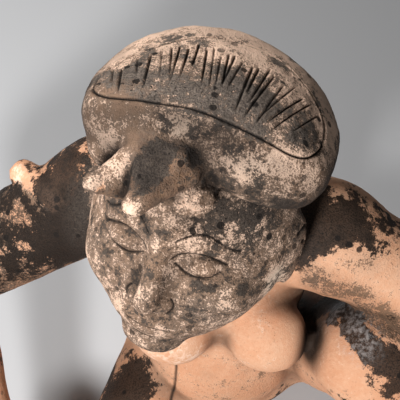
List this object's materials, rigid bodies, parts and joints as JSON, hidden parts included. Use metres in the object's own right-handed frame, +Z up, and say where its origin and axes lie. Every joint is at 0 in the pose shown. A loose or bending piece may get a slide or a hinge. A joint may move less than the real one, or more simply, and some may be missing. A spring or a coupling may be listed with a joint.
{
  "type": "ceramic figure",
  "caption": "Seated terracotta tomb figure, hunched, head thrust forward under a rolled headband with a pronged knot, one knee raised.",
  "frame": {"origin": "on the flat seat of the underside, under the front of the pelvis", "axes": "+Z up, the figure's chest faces -Y, its left hand side is +X"},
  "size_m": [0.4779, 0.3135, 0.4579],
  "materials": {
    "terracotta": "unglazed fired clay with worn slip and black mineral spots"
  },
  "bodies": {
    "root": {"figure": "terracotta"}
  },
  "joints": []
}
